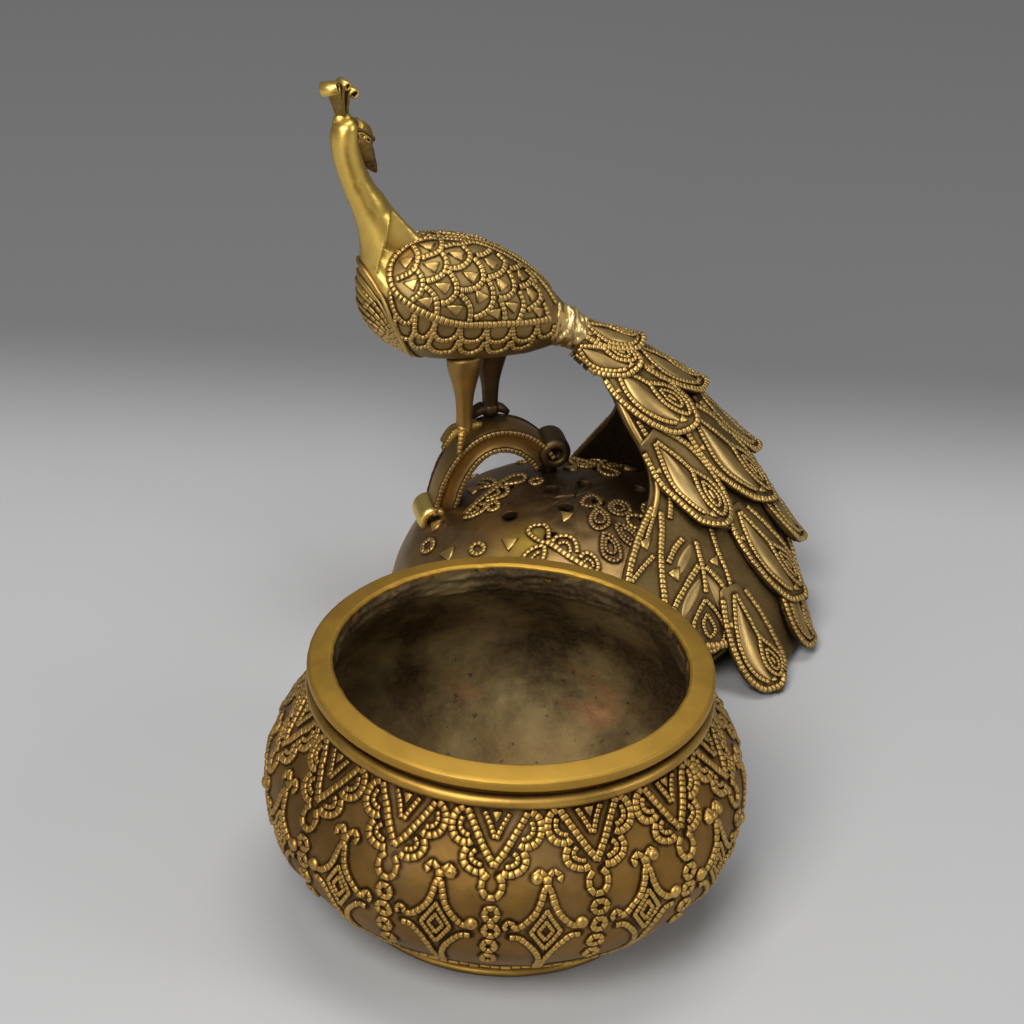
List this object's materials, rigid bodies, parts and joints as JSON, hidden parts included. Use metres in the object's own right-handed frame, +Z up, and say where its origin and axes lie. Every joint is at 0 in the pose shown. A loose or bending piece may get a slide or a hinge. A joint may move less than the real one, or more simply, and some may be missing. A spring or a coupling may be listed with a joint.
{
  "type": "incense burner",
  "caption": "Round brass incense bowl with lace relief and a pierced domed lid carrying a peacock with a hollow feathered tail.",
  "frame": {"origin": "centre of the bowl's foot ring, on the table", "axes": "+Z up along the bowl's axis; the picture looks along +Y from above; the lid stands on the table on the +Y side, its tail towards +X"},
  "size_m": [0.1523, 0.2672, 0.1675],
  "materials": {
    "brass_polished": "satin, rubbed bright",
    "brass_ornament": "worn relief over dark patina",
    "brass_antique": "brown antique patina"
  },
  "bodies": {
    "bowl": {"bowl_floor": "brass_antique", "bowl_shell": "brass_antique", "bowl_waist": "brass_antique", "bowl_shoulder": "brass_antique", "rim_ring": "brass_polished", "neck_ridge": "brass_polished", "foot_ring": "brass_polished", "lace_pendants": "brass_ornament", "drop_rings": "brass_ornament", "anchor_motifs": "brass_ornament", "lozenges": "brass_ornament", "pellets": "brass_ornament", "foot_scallops": "brass_ornament"},
    "carry": {"carry_pellet": "brass_ornament"},
    "lid": {"dome": "brass_antique", "dome_crown": "brass_antique", "lid_flange": "brass_polished", "locating_ring": "brass_polished", "dome_triangles": "brass_ornament", "dome_rings": "brass_ornament", "dome_bow": "brass_ornament", "dome_blossom": "brass_antique", "dome_border": "brass_ornament", "arch_band": "brass_polished", "arch_ropes": "brass_ornament", "front_scroll": "brass_polished", "rear_scroll": "brass_polished", "near_leg": "brass_polished", "far_leg": "brass_polished", "near_foot": "brass_ornament", "far_foot": "brass_ornament", "bird_body": "brass_antique", "near_wing": "brass_ornament", "far_wing": "brass_ornament", "breast_shield": "brass_ornament", "neck_and_head": "brass_polished", "crest_plumes": "brass_ornament", "tail_collar": "brass_polished", "tail_cape": "brass_antique", "tail_tier_1": "brass_ornament", "tail_tier_2": "brass_ornament", "tail_tier_3": "brass_ornament", "tail_tier_4": "brass_ornament", "tail_tier_5": "brass_ornament"}
  },
  "joints": [
    {"name": "lid_carry", "type": "hinge", "parent": "bowl", "child": "carry", "pos_m": [0.00165, 0.05553, 0.05643], "axis": [0.9932, -0.116, 0], "range_deg": [0, 232.57]},
    {"name": "lid_level", "type": "hinge", "parent": "carry", "child": "lid", "pos_m": [0.0077, 0.10732, -0.01169], "axis": [0.9932, -0.116, 0], "range_deg": [-232.57, 0]}
  ],
  "couplings": [
    {"joint": "lid_level", "follows": "lid_carry", "ratio": -1}
  ]
}
